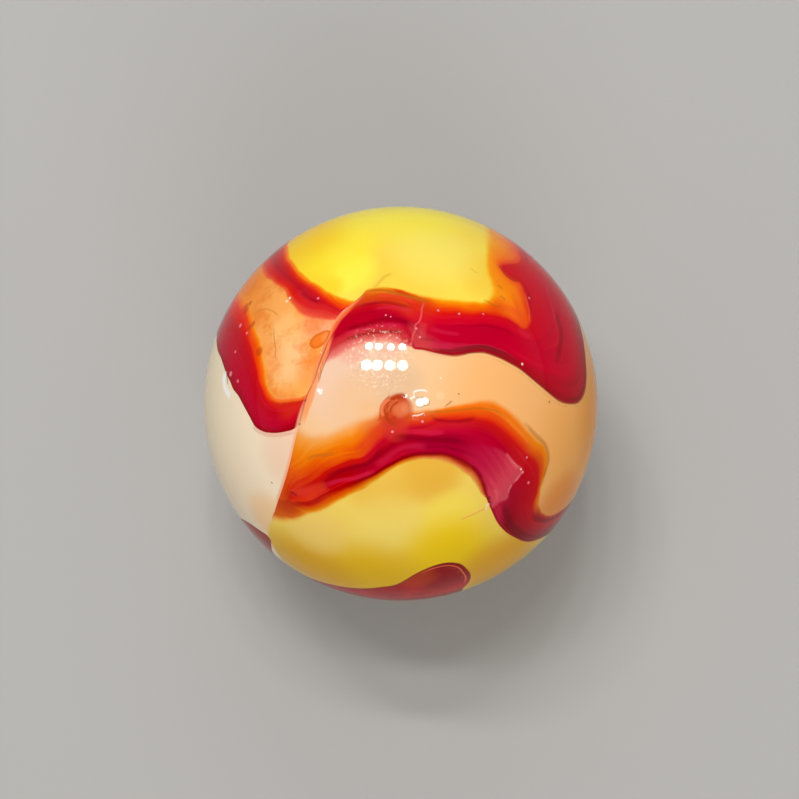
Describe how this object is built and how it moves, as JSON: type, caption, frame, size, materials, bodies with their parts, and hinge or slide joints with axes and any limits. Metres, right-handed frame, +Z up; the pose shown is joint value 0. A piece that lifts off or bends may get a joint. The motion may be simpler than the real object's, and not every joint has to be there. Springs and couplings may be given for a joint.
{
  "type": "glass marble",
  "caption": "Solid ball of milky glass with folded ribbons of red, orange and yellow colour in its skin, a fine fold line and a shallow cut-off mark.",
  "frame": {"origin": "centre of the ball", "axes": "+Z up, with the middle of the face that carries the curl and the cut-off mark turned up to within 10 degrees of +Z and leaning towards -Y; +X to the right of that face"},
  "size_m": [0.016, 0.016, 0.016],
  "materials": {
    "marble_glass": "opaque milky glass, fire polished and glossy, with red, orange, yellow and peach ribbons"
  },
  "bodies": {
    "root": {"marble": "marble_glass"}
  },
  "joints": []
}
